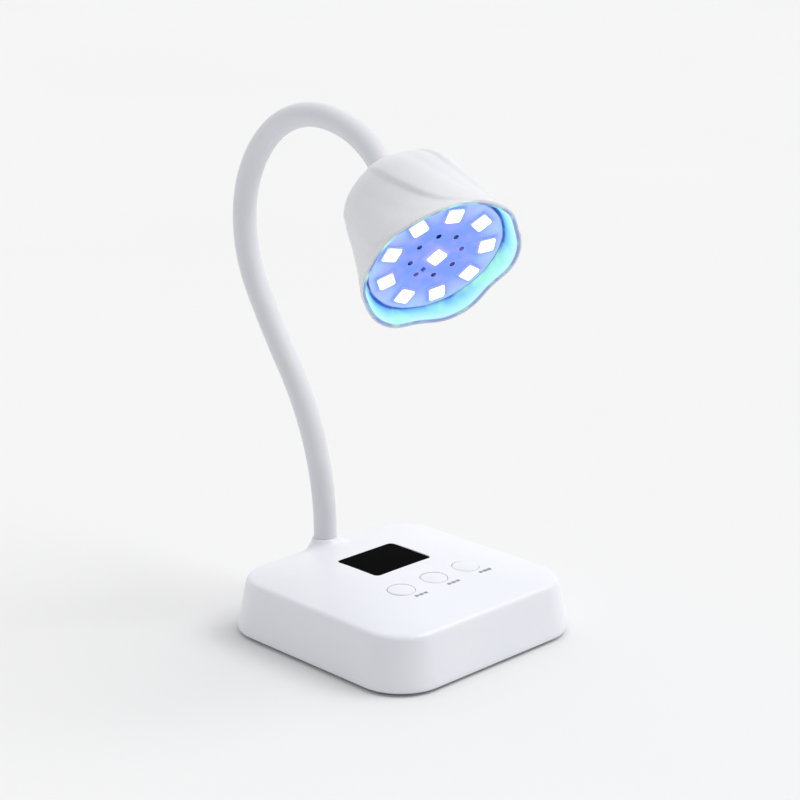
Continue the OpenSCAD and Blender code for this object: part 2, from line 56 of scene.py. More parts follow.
# %% Sizes
MM = 0.001
BASE_HALF = 55.0
DECK_HALF = 48.5
DECK_CORNER_R = 17.1
SHOULDER_Z = 24.4
CROWN = 4.1
WALL = 2.0
NECK_Y = 47.5
BOSS_Z = 28.0
SLEEVE_R = 5.0
SLEEVE_WALL = 1.3
LINK = 37.1
BENDS = [(-17.5, 0), (-18, 0), (6, 0), (37.5, 0), (41, 0), (47, 1), (28, -13.5)]
LIP_FRONT = 6.2
SHELL_WALL = 1.4
HEAD_JOINT = -55.0
SHELL_R = 30.8
DOME_R = 25.7
DOME_LEN = 18.3
DOME_END = -27
RIM_BACK = -4
PETALS = 6
BOARD_R = 28.76
BOARD_T = 1.6
HOLE_R = 1.15
HOLE_RING_R = 10.9
LED_RING_R = 21.6
LED_SIZE = 6.6
LENS_TOP = 1.2
BUTTON_X = (-18.75, 0.0, 18.75)
BUTTON_Y = -18.6
BUTTON_R = 5.75
WINDOW = (32, 25)
WINDOW_AT = (0, 10.8)
WINDOW_BACK = 27.1
MARK_X = 3.1
MARK_Y = -27.1


# %% [markdown]
# Two small tools keep the materials short: one turns a hex code into a linear colour and one
# adds a node. Pattern scales are given in millimetres.

# %% Colours and shader nodes
def srgb(code):
    """Linear colour of an sRGB hex code."""
    parts = [int(code[k:k + 2], 16) / 255 for k in (1, 3, 5)]
    return [c / 12.92 if c <= 0.04045 else ((c + 0.055) / 1.055) ** 2.4 for c in parts] + [1.0]


def add(tree, kind, values=None, wires=None, **settings):
    """Adds a shader node; values go on its sockets and wires come from other outputs."""
    made = tree.nodes.new(kind)
    for key, value in settings.items():
        setattr(made, key, value)
    for key, value in (values or {}).items():
        made.inputs[key].default_value = value
    for key, output in (wires or {}).items():
        tree.links.new(output, made.inputs[key])
    return made


def blank(name):
    """A new material with an empty tree, its output node and its object coordinates."""
    made = bpy.data.materials.new(name)
    made.use_nodes = True
    tree = made.node_tree
    tree.nodes.clear()
    out = add(tree, "ShaderNodeOutputMaterial")
    place = add(tree, "ShaderNodeTexCoord").outputs["Object"]
    return made, tree, out, place


def finish_of(name, colour, second, roughness, metallic=0.0, ior=1.5, patch_mm=9.0,
              grain_mm=0.5, bump_mm=0.01, spread=0.06, coat=0.0, subsurface=0.0, specular=0.5):
    """A surface whose colour drifts over patches, with a fine grain in its relief and gloss."""
    made, tree, out, place = blank(name)
    patches = add(tree, "ShaderNodeTexNoise", {"Scale": 1000 / patch_mm, "Detail": 3.0}, {"Vector": place})
    grain = add(tree, "ShaderNodeTexNoise", {"Scale": 1000 / grain_mm, "Detail": 2.0}, {"Vector": place})
    tint = add(tree, "ShaderNodeMix", {6: srgb(colour), 7: srgb(second)}, {0: patches.outputs["Fac"]},
               data_type="RGBA")
    gloss = add(tree, "ShaderNodeMapRange", {"To Min": roughness - spread, "To Max": roughness + spread},
                {"Value": grain.outputs["Fac"]})
    relief = add(tree, "ShaderNodeBump", {"Strength": 1.0, "Distance": bump_mm * MM},
                 {"Height": grain.outputs["Fac"]})
    body = add(tree, "ShaderNodeBsdfPrincipled",
               {"Metallic": metallic, "IOR": ior, "Coat Weight": coat, "Specular IOR Level": specular,
                "Subsurface Weight": subsurface, "Subsurface Scale": 0.002},
               {"Base Color": tint.outputs[2], "Roughness": gloss.outputs["Result"],
                "Normal": relief.outputs["Normal"]})
    tree.links.new(body.outputs["BSDF"], out.inputs["Surface"])
    return made


def lit_surface(name, stops, glow, roughness=0.35, glow_patch="#FFFFFF", glow_patch_mix=0.15, glow_patch_mm=7.0):
    """A surface that glows; its colour runs through stops along the mesh attribute 'tone'. On the LED lenses
    the glow is the lamp's own light. On the board mask and the clear lip it is painted light, with painted
    shade in their darkest stops and painted patches of another colour in the glow.
    """
    made, tree, out, place = blank(name)
    tone = add(tree, "ShaderNodeAttribute", attribute_name="tone")
    ramp = add(tree, "ShaderNodeValToRGB", wires={"Fac": tone.outputs["Fac"]})
    while len(ramp.color_ramp.elements) < len(stops):
        ramp.color_ramp.elements.new(1.0)
    for element, (position, code) in zip(ramp.color_ramp.elements, stops):
        element.position = position
        element.color = srgb(code)
    # Painted light: patches of another colour in the glow, such as mint on the lip and violet on the board.
    cloud = add(tree, "ShaderNodeTexNoise", {"Scale": 1000 / glow_patch_mm, "Detail": 2.0}, {"Vector": place})
    share = add(tree, "ShaderNodeMapRange", {"From Min": 0.45, "From Max": 0.7, "To Max": glow_patch_mix},
                {"Value": cloud.outputs["Fac"]})
    colour = add(tree, "ShaderNodeMix", {7: srgb(glow_patch)},
                 {0: share.outputs["Result"], 6: ramp.outputs["Color"]}, data_type="RGBA")
    dim = add(tree, "ShaderNodeMix", {0: 0.88, 7: srgb("#080A18")}, {6: colour.outputs[2]},
              data_type="RGBA")
    body = add(tree, "ShaderNodeBsdfPrincipled",
               {"Roughness": roughness, "IOR": 1.5, "Emission Strength": glow},
               {"Base Color": dim.outputs[2], "Emission Color": colour.outputs[2]})
    tree.links.new(body.outputs["BSDF"], out.inputs["Surface"])
    return made


# %% [markdown]
# The housing is moulded ABS with a satin skin, and the neck's sleeve is white silicone, which
# is softer in its highlights and lets a little light in. Metals and boards inside are named
# for what they are. The lamp is shown switched on: the LED lenses glow as its own light, and the
# board mask and the clear lip have the LEDs' light on them painted in as a glow of their own.

# %% Materials
# The blue-lavender tint of this white is partly the plastic's own colour and partly painted light: the lamp's
# blue glow on the deck and the front of the base.
white_abs = finish_of("white_abs_satin", "#E9EAEF", "#E4E5EC", 0.34, ior=1.54, patch_mm=30, grain_mm=0.35,
                      bump_mm=0.004, subsurface=0.05)
head_abs = finish_of("white_abs_head", "#E2E3E6", "#DCDDE1", 0.40, ior=1.54, patch_mm=22, grain_mm=0.35,
                     bump_mm=0.004, subsurface=0.05)
grey_abs = finish_of("grey_abs_cover", "#D9DADD", "#D2D3D7", 0.5, ior=1.54, grain_mm=0.5, bump_mm=0.015)
pad_rubber = finish_of("pad_rubber", "#3B3D42", "#2F3135", 0.85, ior=1.52, patch_mm=4, grain_mm=0.6,
                       bump_mm=0.05)
zinc_steel = finish_of("zinc_plated_steel", "#A9ACB2", "#B9BAB4", 0.32, 1.0, 2.5, patch_mm=1.5,
                       grain_mm=0.2)
mild_steel = finish_of("mild_steel", "#8B8F96", "#7B7E84", 0.45, 1.0, 2.5, patch_mm=12, grain_mm=0.4)
battery_film = finish_of("battery_film", "#4F7DB0", "#5B87B8", 0.3, ior=1.55, patch_mm=14, grain_mm=1.2,
                         coat=0.4)
red_wire = finish_of("red_wire_insulation", "#C23434", "#B32C2C", 0.45, ior=1.5, patch_mm=3)
black_wire = finish_of("black_wire_insulation", "#2B2D31", "#222427", 0.5, ior=1.5, patch_mm=3)
circuit_board = finish_of("green_solder_mask", "#2F6B45", "#27603C", 0.35, ior=1.55, patch_mm=3,
                          grain_mm=0.8, coat=0.3)
black_plastic = finish_of("black_moulded_plastic", "#242629", "#1D1F22", 0.5, ior=1.52, patch_mm=2,
                          grain_mm=0.3)
display_black = finish_of("tinted_display_acrylic", "#020203", "#040405", 0.3, ior=1.49, patch_mm=16,
                          grain_mm=2.0, bump_mm=0.001, spread=0.03, specular=0.002)
nickel_steel = finish_of("nickel_plated_steel", "#B9BDC4", "#ABAEB4", 0.28, 1.0, 2.0, patch_mm=3,
                         grain_mm=0.3)
brass = finish_of("brass", "#C3A25A", "#B4934E", 0.3, 1.0, 1.3, patch_mm=3, grain_mm=0.3)
white_silicone = finish_of("white_silicone", "#DEDFE3", "#D8D9DE", 0.46, ior=1.43, patch_mm=18,
                           grain_mm=0.3, bump_mm=0.006, subsurface=0.12)
wound_steel = finish_of("wound_spring_steel", "#9DA1A8", "#8A8E95", 0.35, 1.0, 2.5, patch_mm=2,
                        grain_mm=0.3)
white_buttons = finish_of("white_button_abs", "#E8E9EE", "#E3E4EA", 0.3, ior=1.54, patch_mm=8,
                          grain_mm=0.3, bump_mm=0.003, subsurface=0.05)
aluminium = finish_of("cast_aluminium", "#B5B9C0", "#A8ACB3", 0.4, 1.0, 1.4, patch_mm=4, grain_mm=0.4,
                      bump_mm=0.02)
grey_print = finish_of("grey_pad_print", "#8F94A6", "#83889A", 0.5, ior=1.5, patch_mm=1.0, grain_mm=0.2,
                       bump_mm=0.002)
ceramic = finish_of("white_ceramic_package", "#E8EAF8", "#DCDFF4", 0.4, ior=1.6, patch_mm=1.5,
                    grain_mm=0.15)
sensor = finish_of("navy_thermistor", "#4660B8", "#3A52A6", 0.4, ior=1.55, patch_mm=0.6, grain_mm=0.1)
# Painted shade: the heat sink is painted dark navy so that the holes in the board look dark, tinted by
# painted blue light.
painted_shade_navy = finish_of("heat_sink_painted_shade", "#10174A", "#0B1038", 0.55, ior=1.5, patch_mm=0.5,
                          grain_mm=0.1, specular=0.2)
# Painted light: the board mask's glow is the LEDs' light painted on it. Its darkest stop is painted shade in
# the holes, under the board and at its rim, and its violet stops are painted pools of light round each LED.
board_glow = lit_surface("lit_led_board_mask",
                         [(0.0, "#16206B"), (0.06, "#5E84D8"), (0.14, "#A3C4FB"), (0.4, "#86A6F9"),
                          (0.66, "#6F93F6"), (0.85, "#A6A8F8"), (1.0, "#E3CDF8")],
                         0.95, glow_patch="#A5A4F8", glow_patch_mix=0.5, glow_patch_mm=6)
# Painted light: the clear lip's glow is the LEDs' light painted on it. Its last, darker stop is a painted
# shade line along its edge.
lip_glow = lit_surface("lit_clear_lip", [(0.0, "#2F5FC8"), (0.1, "#6BB4F6"), (0.4, "#8FDDFA"),
                                         (0.7, "#B2F0FE"),
                                         (0.9, "#C4F4FD"), (1.0, "#7C93CC")], 0.95, roughness=0.25,
                       glow_patch="#B0FFDA", glow_patch_mix=0.95, glow_patch_mm=10)
led_glow = lit_surface("lit_led_lens", [(0.0, "#D9DCFF"), (1.0, "#FBFAFF")], 1.9, roughness=0.2)

SLOT_MATERIALS = {
    "white_abs": white_abs, "grey_abs": grey_abs, "pad_rubber": pad_rubber, "zinc_steel": zinc_steel,
    "mild_steel": mild_steel, "battery_film": battery_film, "red_wire": red_wire,
    "black_wire": black_wire, "circuit_board": circuit_board, "black_plastic": black_plastic,
    "display_black": display_black, "nickel_steel": nickel_steel, "brass": brass,
    "white_silicone": white_silicone, "wound_steel": wound_steel, "white_buttons": white_buttons,
    "cyan_ring": lip_glow, "led_board_mask": board_glow, "led_emitter": led_glow, "aluminium": aluminium}


# %% [markdown]
# Each piece is drawn as rings of points, a turned profile or a rounded plate, has its holes cut
# by booleans, and is then given its material and the body it rides on.

# %% Tools for making pieces
def piece(name, bm, material, body, replaces=(), place=None, sharp=35.0, tone=None):
    """Turns a mesh drawn in millimetres into a finished piece that rides on a CAD body."""
    bmesh.ops.recalc_face_normals(bm, faces=bm.faces)
    bm.transform(Matrix.Scale(MM, 4) @ (place or Matrix.Identity(4)))
    mesh = bpy.data.meshes.new(name)
    bm.to_mesh(mesh)
    bm.free()
    made = bpy.data.objects.new(name, mesh)
    bpy.context.scene.collection.objects.link(made)
    mesh.materials.append(material)
    mesh.shade_smooth()
    mesh.set_sharp_from_angle(angle=math.radians(sharp))
    if tone is not None:
        back = (place or Matrix.Identity(4)).inverted()
        values = [tone(back @ (v.co / MM)) for v in mesh.vertices]
        mesh.attributes.new("tone", "FLOAT", "POINT").data.foreach_set("value", values)
    if body:
        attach(made, body)
    if replaces:
        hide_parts(*replaces)
    print("made", name, len(mesh.polygons), "faces")
    return made


def skin(bm, rings, wrap=False, cap=False):
    """Joins rings of points, in order, into one skin; wrap joins the last to the first."""
    rows = [[bm.verts.new(p) for p in ring] for ring in rings]
    pairs = list(zip(rows, rows[1:])) + ([(rows[-1], rows[0])] if wrap else [])
    for low, high in pairs:
        for k in range(len(low)):
            n = (k + 1) % len(low)
            bm.faces.new((low[k], low[n], high[n], high[k]))
    if cap:
        bm.faces.new(rows[0])
        bm.faces.new(rows[-1])
    return rows


def lathe(bm, profile, steps=64):
    """Spins a profile of (radius, height) round Z and welds its poles."""
    verts = [bm.verts.new((r, 0, z)) for r, z in profile]
    edges = [bm.edges.new(pair) for pair in zip(verts, verts[1:])]
    bmesh.ops.spin(bm, geom=verts + edges, cent=(0, 0, 0), axis=(0, 0, 1), dvec=(0, 0, 0),
                   angle=2 * math.pi, steps=steps, use_merge=True)
    bmesh.ops.remove_doubles(bm, verts=bm.verts, dist=0.0005)


def rounded_ring(half_x, half_y, r, z, arc=12, side=8, centre=(0.0, 0.0)):
    """Points round a rounded rectangle, the same number whatever its size."""
    points = []
    for quarter, (sx, sy) in enumerate([(1, 1), (-1, 1), (-1, -1), (1, -1)]):
        cx, cy = sx * (half_x - r), sy * (half_y - r)
        for k in range(arc + 1):
            a = math.radians(90 * quarter + 90 * k / arc)
            points.append(Vector((cx + r * math.cos(a), cy + r * math.sin(a), z)))
        nx, ny = [(-1, 1), (-1, -1), (1, -1), (1, 1)][quarter]
        a = math.radians(90 * quarter + 90)
        start = points[-1]
        end = Vector((nx * (half_x - r) + r * math.cos(a), ny * (half_y - r) + r * math.sin(a), z))
        points += [start.lerp(end, k / side) for k in range(1, side)]
    return [p + Vector((centre[0], centre[1], 0)) for p in points]


def plate(bm, w, d, r, low, high, edge, centre=(0.0, 0.0), arc=8):
    """A rounded plate between two heights, with its edges rounded by edge."""
    rings = []
    for z, inset in ((low, edge), (low + 0.3 * edge, 0.3 * edge), (low + edge, 0.0), (high - edge, 0.0),
                     (high - 0.3 * edge, 0.3 * edge), (high, edge), (high, edge + 0.4)):
        rings.append(rounded_ring(w / 2 - inset, d / 2 - inset, max(r - inset, 0.05), z, arc, 4, centre))
    skin(bm, rings, cap=True)


def cutter(bm):
    """A hidden object in millimetres that cuts another one."""
    bmesh.ops.recalc_face_normals(bm, faces=bm.faces)
    mesh = bpy.data.meshes.new("cutter")
    bm.to_mesh(mesh)
    bm.free()
    made = bpy.data.objects.new("cutter", mesh)
    bpy.context.scene.collection.objects.link(made)
    return made


def cut(bm, cutters):
    """Subtracts cutters from a mesh and returns the result as a new mesh."""
    body = cutter(bm)
    for tool in cutters:
        change = body.modifiers.new("cut", "BOOLEAN")
        change.operation = "DIFFERENCE"
        change.solver = "EXACT"
        change.object = tool
    bpy.context.view_layer.update()
    done = bmesh.new()
    done.from_mesh(body.evaluated_get(bpy.context.evaluated_depsgraph_get()).to_mesh())
    for thing in [body] + cutters:
        bpy.data.objects.remove(thing)
    return done


def smooth(x):
    x = min(max(x, 0.0), 1.0)
    return x * x * (3 - 2 * x)


# %% [markdown]
# The base shell is one moulding: upright sides with a little draft, a soft shoulder and a
# crowned deck. It is drawn as rings from the middle of the deck outward and down, then back
# up its inside, so that the wall has its real thickness where holes go through it.

# %% Base shell
def deck_z(h):
    return SHOULDER_Z + CROWN * (1 - (min(h, DECK_HALF) / DECK_HALF) ** 3)


def shell_rings(drop):
    """Rings of the outer skin, or with drop = the wall's thickness of the inner one."""
    rings = []
    for k in range(1, 31):
        s = k / 30
        rings.append((s * DECK_HALF, s * DECK_CORNER_R, deck_z(s * DECK_HALF) - drop))
    a, b, c = Vector((49.3, 24.22)), Vector((51.42, 23.72)), Vector((51.72, 21.4))
    for k in range(1, 11):
        t = k / 10
        p = a * (1 - t) ** 2 + b * 2 * t * (1 - t) + c * t * t
        rings.append((p.x - drop * smooth(2 * t), 20.6 - 0.6 * (BASE_HALF - p.x), p.y - drop * (1 - 0.5 * t)))
    for z in (18.0, 14.0, 10.0, 6.5, 4.0, 2.6):
        half = BASE_HALF - 3.4 * (z - 2.6) / 19.4
        rings.append((half - drop, 20.6 - 0.6 * (BASE_HALF - half), z))
    rings += [(54.85 - drop, 20.5, 1.9), (54.5 - drop, 20.2, 1.6), (54.2 - drop + 0.4, 20.0, 1.5)]
    return [rounded_ring(h, h, max(r - drop, 0.3 * h), z, 26, 22) for h, r, z in rings]


# %% [markdown]
# The neck's foot flows out of the deck in a smooth flare. Vertices of the deck round the neck
# are split finer and pushed out, along lines from a point below, onto the smooth union of the
# deck and a short column.

# %% Foot of the neck
def on_skin(p):
    """Whether a point of the shell lies on its outer skin, and not inside."""
    return p.y > BASE_HALF - 0.8 - 3.4 * p.z / 22 or p.z > deck_z(max(abs(p.x), abs(p.y))) - 0.8


def pull_foot(bm):
    axis = Vector((0, NECK_Y))
    near = [f for f in bm.faces if (f.calc_center_median().xy - axis).length < 13
            and f.calc_center_median().z > 15 and on_skin(f.calc_center_median())]
    edges = list({e for f in near for e in f.edges})
    bmesh.ops.subdivide_edges(bm, edges=edges, cuts=4, use_grid_fill=True)
    bm.normal_update()
    centre = Vector((0, 45.5, 10))
    moved = {}
    for v in bm.verts:
        if (v.co.xy - axis).length > 17 or v.co.z < 12 or not on_skin(v.co):
            continue
        ray = v.co - centre

        def field(t):
            p = centre + ray * t
            deck = (p - v.co).dot(v.normal)
            column = (p.xy - axis).length - 5.28 + 0.6 * max(0.0, 21 - p.z)
            top = p.z - BOSS_Z - 0.2
            gap = max(0.4 - abs(column - top), 0) / 0.4
            column = max(column, top) + gap * gap * 0.1
            k = 0.3 + 6.8 * smooth((p.z - 14) / 9)
            h = min(max(0.5 + 0.5 * (deck - column) / k, 0), 1)
            return deck * (1 - h) + column * h - k * h * (1 - h)

        if field(1.0) >= 0:
            continue
        low, high = 1.0, 2.6
        for _ in range(26):
            middle = (low + high) / 2
            low, high = (middle, high) if field(middle) < 0 else (low, middle)
        moved[v] = centre + ray * low
    for v, p in moved.items():
        v.co = p


def box_cutter(w, d, r, low, high, centre):
    bm = bmesh.new()
    skin(bm, [rounded_ring(w / 2, d / 2, r, z, 10, 4, centre) for z in (low, high)], cap=True)
    return cutter(bm)


def round_cutter(r, low, high, x, y, tilt=None):
    bm = bmesh.new()
    lathe(bm, [(0, low), (r, low), (r, high), (0, high)], 72)
    bm.transform(Matrix.Translation((x, y, 0)) @ (tilt or Matrix.Identity(4)))
    return cutter(bm)


outer = bmesh.new()
skin(outer, shell_rings(0.0) + shell_rings(WALL)[::-1], cap=True)
bmesh.ops.recalc_face_normals(outer, faces=outer.faces)
pull_foot(outer)
mouth = bmesh.new()
skin(mouth, [rounded_ring(4.62, 1.75, 1.74, z, 10, 4) for z in (43, 60)], cap=True)
mouth.transform(Matrix.Translation((23, 0, 21.7)) @ Matrix.Rotation(math.radians(-90), 4, "X"))
tools = [box_cutter(WINDOW[0] + 0.2, WINDOW[1] + 0.2, 2.4, WINDOW_BACK, 34, WINDOW_AT),
         box_cutter(WINDOW[0] - 3, WINDOW[1] - 3, 1.5, 15, 34, WINDOW_AT),
         round_cutter(SLEEVE_R - 0.01, 5, 45, 0, NECK_Y), cutter(mouth)]
tools += [round_cutter(BUTTON_R + 0.2, 20, 40, x, BUTTON_Y) for x in BUTTON_X]
shell = cut(outer, tools)
piece("base_shell_moulding", shell, white_abs, "base", ["base_top_shell"], sharp=32)

# %% [markdown]
# The display window is a tinted acrylic plate that sits flush in the deck, with eased edges.

# %% Display window
glass = bmesh.new()
plate(glass, *WINDOW, 2.3, WINDOW_BACK, WINDOW_BACK + 1, 0.18, WINDOW_AT)
piece("display_window_plate", glass, display_black, "base", ["display_window"])

# %% [markdown]
# Each button is a moulded cap: a slightly domed face with a rounded edge, a flange that keeps
# it under the deck, and a stem on the switch.

# %% Buttons
for number, x in enumerate(BUTTON_X, 1):
    cap = bmesh.new()
    dome = [(r, 28.65 - r * r / 90) for r in (0, 1.2, 2.4, 3.4, 4.2, 4.9, 5.2)]
    edge = [(5.2 + 0.55 * math.sin(math.radians(a)), 28.33 - 0.55 * (1 - math.cos(math.radians(a))))
            for a in (20, 40, 60, 80, 90)]
    flange = [(BUTTON_R, 25.7), (5.8, 25.5), (6.7, 25.48), (6.75, 25.4), (6.75, 24.8), (6.7, 24.72)]
    stem = [(1.6, 24.7), (1.55, 24.62), (1.5, 24.6), (0, 24.6)]
    lathe(cap, dome + edge + flange + stem, 72)
    piece(f"button_cap_moulding_{number}", cap, white_buttons, f"button_{number}",
          [f"button_cap_{number}"], Matrix.Translation((x, BUTTON_Y, 0)), sharp=40)

# %% [markdown]
# Beside each button there is a small pad-printed mark. They are plain grey dashes, a few
# hundredths of a millimetre thick, that lie on the curve of the deck.

# %% Printed marks
marks = bmesh.new()
for x in BUTTON_X:
    for shift, width in ((-2.6, 1.9), (-0.1, 2.3), (2.4, 1.9)):
        centre = (x + MARK_X + shift, MARK_Y)
        rings = [rounded_ring(width / 2 - inset, 0.75 - inset, 0.35 - inset, z, 5, 4, centre)
                 for z, inset in ((-0.3, 0.0), (0.02, 0.0), (0.04, 0.06), (0.04, 0.2))]
        for ring in rings:
            for p in ring:
                p.z += deck_z(max(abs(p.x), abs(p.y)))
        skin(marks, rings, cap=True)
piece("deck_pad_print", marks, grey_print, "base")


# %% [markdown]
# The neck is a bendy core in a silicone sleeve. In CAD it is eight hinges in a row with rigid
# arcs between them. The sleeve is drawn here as short tubes, each from the middle of one link
# to the middle of the next, that bend smoothly over the hinge between them.

# %% Path of the neck
def bend_step(forward, turn, length=LINK):
    """Move along a circular arc that bends by the given angles over one link."""
    whole = math.hypot(forward, turn)
    share = length / LINK
    b = math.radians(max(whole * share, 1e-6))
    n = (forward / whole, turn / whole)
    r = length / b
    c, k, q = math.cos(b), 1 - math.cos(b), math.sin(b)
    return Matrix(((c + n[0] * n[0] * k, n[0] * n[1] * k, n[1] * q, n[1] * r * k),
                   (n[0] * n[1] * k, c + n[1] * n[1] * k, -n[0] * q, -n[0] * r * k),
                   (-n[1] * q, n[0] * q, c, r * q),
                   (0, 0, 0, 1)))


joints = [Matrix.Translation((0, NECK_Y, BOSS_Z + 4))]
for forward, turn in BENDS:
    joints.append(joints[-1] @ bend_step(forward, turn))
head = joints[-1] @ Matrix.Translation((0, 0, -HEAD_JOINT))
print("LED board centre, mm:", [round(c, 1) for c in head.translation])


def neck_frame(i, along):
    """Frame at a distance along the neck from joint i, negative towards the base."""
    if along >= 0:
        straight = i == len(BENDS) or along == 0
        return joints[i] @ (Matrix.Translation((0, 0, along)) if straight else bend_step(*BENDS[i], along))
    if i == 0:
        return joints[0] @ Matrix.Translation((0, 0, along))
    return joints[i - 1] @ bend_step(*BENDS[i - 1], LINK + along)


def sleeve_radius(distance):
    """The sleeve is a little thicker above its foot."""
    return SLEEVE_R - 0.06 + 0.2 * smooth(distance / 70)


# %% [markdown]
# Each tube is hollow, with the sleeve's real wall. It is drawn along both links that it joins,
# curving smoothly over the hinge between them.

# %% Neck sleeve
for i in range(8):
    low = -8.0 if i == 0 else -LINK / 2
    high = 11.0 if i == 7 else LINK / 2
    steps = 40
    outside, inside = [], []
    for k in range(steps + 1):
        along = low + (high - low) * k / steps
        at = neck_frame(i, along)
        r = sleeve_radius(i * LINK + along)
        for ring, radius in ((outside, r), (inside, SLEEVE_R - SLEEVE_WALL)):
            ring.append([at @ Vector((radius * math.cos(a), radius * math.sin(a), 0))
                         for a in np.linspace(0, 2 * math.pi, 56, endpoint=False)])
    tube = bmesh.new()
    skin(tube, outside + inside[::-1], wrap=True)
    gone = ["neck_sleeve_base"] if i == 0 else [f"neck_sleeve_{i}"] + (["neck_sleeve_head"] if i == 7 else [])
    sleeve = piece(f"neck_sleeve_tube_{i + 1}", tube, white_silicone, None, gone, sharp=50)
    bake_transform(sleeve)


# %% [markdown]
# The head is a bell of six overlapping petals, like a rosebud cut off at its mouth. Its skin
# is swept round the axis; each petal's edge stands about a millimetre proud of the next one,
# and the edges curl round the bell from the neck to the lip. The lip waves and flares.

# %% Head shell
def lip_r(z):
    """Radius of the bell's skin at a height: tapered behind the lip and flared along it."""
    if z < RIM_BACK:
        taper = RIM_BACK - DOME_END
        return SHELL_R - (SHELL_R - DOME_R) * (min(RIM_BACK - z, taper) / taper) ** 0.85
    return SHELL_R + 3.3 * (z - RIM_BACK) / (LIP_FRONT - RIM_BACK)


raw = [(DOME_R * math.cos(math.radians(t)), DOME_END - DOME_LEN * math.sin(math.radians(t)))
       for t in np.arange(78.4, 0, -2)]
raw += [(lip_r(z), z) for z in np.arange(DOME_END, LIP_FRONT + 0.01, 0.5)]
raw = np.array(raw)
length = np.concatenate([[0], np.cumsum(np.hypot(*np.diff(raw, axis=0).T))])
total = length[-1]
even = np.linspace(0, total, 121)
profile = np.stack([np.interp(even, length, raw[:, j]) for j in (0, 1)], 1)
for _ in range(60):
    profile[1:-1] = 0.5 * profile[1:-1] + 0.25 * (profile[:-2] + profile[2:])
slope = np.gradient(profile, axis=0)
slope /= np.linalg.norm(slope, axis=1)[:, None]
outward = np.stack([slope[:, 1], -slope[:, 0]], 1)


def dent(theta):
    """1 in the dent between two petals of the lip, 0 on a petal."""
    return abs(math.cos(math.radians(PETALS / 2 * (theta - 36)))) ** 3


def wave_at(theta, z):
    """How far the waving lip flares out and drops back at an angle and a height."""
    lip = smooth((z + 6) / 12.2)
    return lip * (0.1 - 0.85 * dent(theta)), -1.5 * dent(theta) * lip, lip


EDGE_AT = (0.0, 0.1, 0.3, 0.48, 0.62, 0.78, 0.88, 0.94, 0.98, 1.0)
EDGE_TURN = (158, 153, 143, 133, 125, 116, 109, 102, 93, 86)


def petal_relief(theta, s):
    """How far the petals' overlaps stand out at an angle and at a share of the way to the lip."""
    edge = float(np.interp(s, EDGE_AT, EDGE_TURN))
    u = ((edge - theta) % (360 / PETALS)) / (360 / PETALS)
    step = 1 - smooth(u / 0.85)
    lead = smooth((u - 0.9) / 0.1)
    fold = math.exp(-((u - 0.55) / 0.12) ** 2) * smooth((s - 0.1) / 0.3) * (1 - smooth((s - 0.75) / 0.25))
    size = 1.35 * smooth((s - 0.08) / 0.4) * (1 - 0.6 * smooth((s - 0.7) / 0.3))
    share = 0.5 + 0.5 * max(0.0, math.cos(math.radians(theta - 105))) ** 2
    return (size * (max(step, lead) - 0.4) - 0.35 * fold) * share


STEPS = 360
rings_out, rings_in = [], []
for k, (r, z) in enumerate(profile):
    s = k / (len(profile) - 1)
    ring_out, ring_in = [], []
    for a in range(STEPS):
        theta = a * 360 / STEPS
        bump = petal_relief(theta, s)
        flare, drop, _ = wave_at(theta, z)
        c, q = math.cos(math.radians(theta)), math.sin(math.radians(theta))
        ro, zo = r + outward[k, 0] * bump + flare, z + outward[k, 1] * bump + drop
        wall = SHELL_WALL * (1 - 0.45 * smooth((s - 0.85) / 0.15))
        ri, zi = r - outward[k, 0] * wall + flare, z - outward[k, 1] * wall + drop
        ring_out.append(Vector((ro * c, ro * q, zo)))
        ring_in.append(Vector((ri * c, ri * q, zi)))
    rings_out.append(ring_out)
    rings_in.append(ring_in)
edge_ring = [(a.lerp(b, 0.5) + Vector((0, 0, 0.35))) for a, b in zip(rings_out[-1], rings_in[-1])]
bell = bmesh.new()
skin(bell, rings_out + [edge_ring] + rings_in[::-1], wrap=True)
piece("head_petal_shell", bell, head_abs, "head", ["head_shell"], head, sharp=50)

# %% [markdown]
# Inside the lip is a clear ring that the LEDs light up, and their light is painted on it as a
# glow of its own: pale cyan over most of it, deeper blue where it meets the board, and a thin
# darker line along its edge, painted shade where the ring meets the shell's lip.

# %% Lit ring
rings_front, rings_back = [], []
for k in range(15):
    z = -1.8 + (LIP_FRONT + 1.75) * k / 14
    front, back = [], []
    for a in range(STEPS):
        theta = a * 360 / STEPS
        flare, drop, lip = wave_at(theta, z)
        r = lip_r(z) - SHELL_WALL + flare - 0.1 * (1 - lip) + 0.5 * smooth((z - 2) / 4)
        c, q = math.cos(math.radians(theta)), math.sin(math.radians(theta))
        back.append(Vector((r * c, r * q, z + drop)))
        front.append(Vector(((r - 1.0) * c, (r - 1.0) * q, z + drop)))
    rings_back.append(back)
    rings_front.append(front)
ring_edge = [(a.lerp(b, 0.5) + Vector((0, 0, 0.15))) for a, b in zip(rings_back[-1], rings_front[-1])]
seat = [[Vector((p.x * f, p.y * f, z)) for p in rings_front[0]] for f, z in ((0.9, -1.8), (0.9, -5.5))]
behind = [[Vector((p.x * 0.985, p.y * 0.985, -5.5)) for p in rings_back[0]]]


def lip_light_and_shade(p):
    """0 beside the board, 0.9 towards the edge, and 1 on the edge itself, whose darker colour is painted
    shade.
    """
    theta = math.degrees(math.atan2(p.y, p.x))
    height = p.z - wave_at(theta, p.z)[1]
    # Painted shade: the edge itself takes the darker last stop.
    if height > LIP_FRONT - 0.2:
        return 1.0
    return min(max((height + 0.3) / 6.5, 0.0), 0.9)


clear = bmesh.new()
skin(clear, rings_back + [ring_edge] + rings_front[::-1] + seat + behind, wrap=True)
piece("lit_lip_ring", clear, lip_glow, "head", ["mouth_ring"], head, sharp=50,
      tone=lip_light_and_shade)

